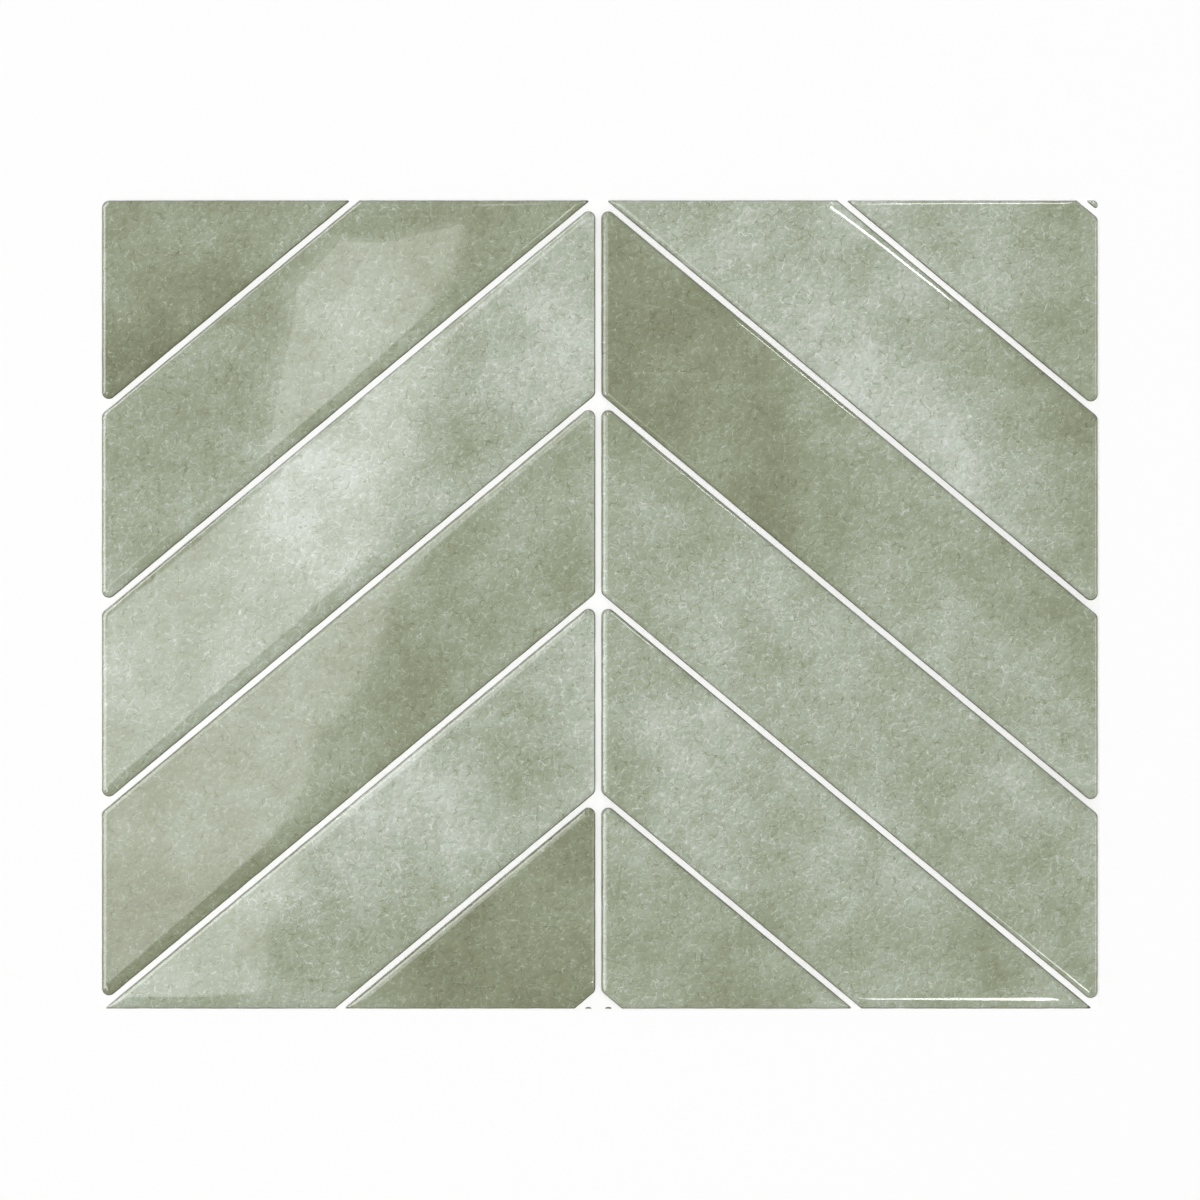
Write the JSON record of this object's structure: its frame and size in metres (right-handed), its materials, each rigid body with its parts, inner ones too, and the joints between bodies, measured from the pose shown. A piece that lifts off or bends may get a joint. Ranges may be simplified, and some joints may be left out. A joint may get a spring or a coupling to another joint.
{
  "type": "peel and stick tile",
  "caption": "Flexible self-adhesive wall tile sheet with raised clear gel pads in a chevron layout over a white film, on its release liner.",
  "frame": {"origin": "middle of the sheet's outline on the underside of the release liner, where the sheet rests", "axes": "+X along the sheet's long side, +Y the way the chevrons point, +Z out of the glazed face"},
  "size_m": [0.28, 0.2274, 0.0023],
  "materials": {
    "printed_gel": "gloss",
    "white_film": "satin",
    "liner_paper": "satin"
  },
  "bodies": {
    "root": {"backing_film": "white_film", "gel_left_row_1": "printed_gel", "gel_left_row_2": "printed_gel", "gel_left_row_3": "printed_gel", "gel_left_row_4": "printed_gel", "gel_left_row_5": "printed_gel", "gel_left_top_1": "printed_gel", "gel_left_top_2": "printed_gel", "gel_right_row_1": "printed_gel", "gel_right_row_2": "printed_gel", "gel_right_row_3": "printed_gel", "gel_right_row_4": "printed_gel", "gel_right_row_5": "printed_gel", "gel_right_top_1": "printed_gel", "gel_right_top_2": "printed_gel", "gel_right_top_3": "printed_gel", "release_liner": "liner_paper"}
  },
  "joints": []
}
